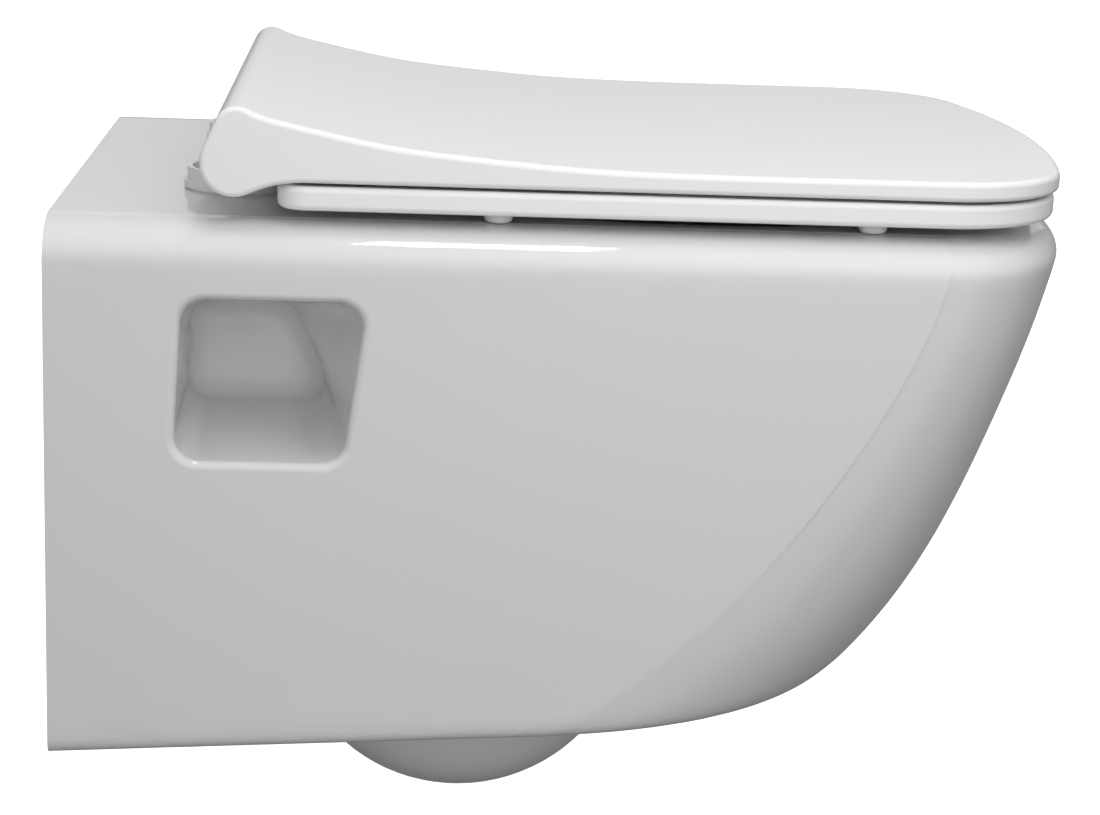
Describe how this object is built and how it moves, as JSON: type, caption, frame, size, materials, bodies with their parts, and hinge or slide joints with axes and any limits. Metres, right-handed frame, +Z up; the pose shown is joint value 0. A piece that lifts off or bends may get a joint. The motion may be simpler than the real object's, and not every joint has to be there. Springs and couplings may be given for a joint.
{
  "type": "toilet",
  "caption": "Wall hung toilet with a rounded ceramic pan, hidden wall fixing through side pockets, and a slim soft-close seat and wrap-over cover that lift off.",
  "frame": {"origin": "midway between the two wall stud holes, on the wall plane", "axes": "+Z up, +Y into the wall, so the pan reaches towards -Y; +X across, to the right for someone who faces the wall"},
  "size_m": [0.368, 0.5135, 0.4102],
  "materials": {
    "ceramic": "gloss white glaze",
    "seat_plastic": "gloss white moulded seat plastic",
    "hinge_plastic": "white, satin gloss",
    "steel": "stainless, fine turned",
    "nut_plastic": "white nylon",
    "fixing_rubber": "off-white soft rubber",
    "washer_plastic": "white nylon",
    "buffer_rubber": "translucent white rubber",
    "damper_plastic": "light grey moulded plastic"
  },
  "bodies": {
    "pan": {"base_pad_left": "fixing_rubber", "base_pad_right": "fixing_rubber", "fixing_bolt_left": "steel", "fixing_bolt_right": "steel", "fixing_sleeve_left": "fixing_rubber", "fixing_sleeve_right": "fixing_rubber", "fixing_washer_left": "washer_plastic", "fixing_washer_right": "washer_plastic", "hinge_base_left": "hinge_plastic", "hinge_base_right": "hinge_plastic", "pan": "ceramic"},
    "hinge_carrier": {"hinge_pin_left": "steel", "hinge_pin_right": "steel", "hinge_post_left": "hinge_plastic", "hinge_post_right": "hinge_plastic"},
    "seat": {"seat_buffer_front_left": "buffer_rubber", "seat_buffer_front_right": "buffer_rubber", "seat_buffer_rear_left": "buffer_rubber", "seat_buffer_rear_right": "buffer_rubber", "seat_damper": "damper_plastic", "seat_ring": "seat_plastic"},
    "cover": {"cover": "seat_plastic", "cover_buffer_left": "buffer_rubber", "cover_buffer_right": "buffer_rubber", "cover_damper": "damper_plastic"},
    "wing_nut_left": {"wing_nut_left": "nut_plastic"},
    "wing_nut_right": {"wing_nut_right": "nut_plastic"}
  },
  "joints": [
    {"name": "seat_release", "type": "slide", "parent": "pan", "child": "hinge_carrier", "axis": [0, 0, 1], "range_m": [0, 0.018]},
    {"name": "seat_hinge", "type": "hinge", "parent": "hinge_carrier", "child": "seat", "pos_m": [0, -0.0885, 0.108], "axis": [-1, 0, 0], "range_deg": [0, 95]},
    {"name": "cover_hinge", "type": "hinge", "parent": "seat", "child": "cover", "pos_m": [0, -0.0885, 0.108], "axis": [1, 0, 0], "range_deg": [-95, 0]},
    {"name": "wing_nut_turn_left", "type": "hinge", "parent": "pan", "child": "wing_nut_left", "pos_m": [-0.0775, -0.084, 0.049], "axis": [0, 0, 1], "continuous": true},
    {"name": "wing_nut_turn_right", "type": "hinge", "parent": "pan", "child": "wing_nut_right", "pos_m": [0.0775, -0.084, 0.049], "axis": [0, 0, 1], "continuous": true}
  ]
}
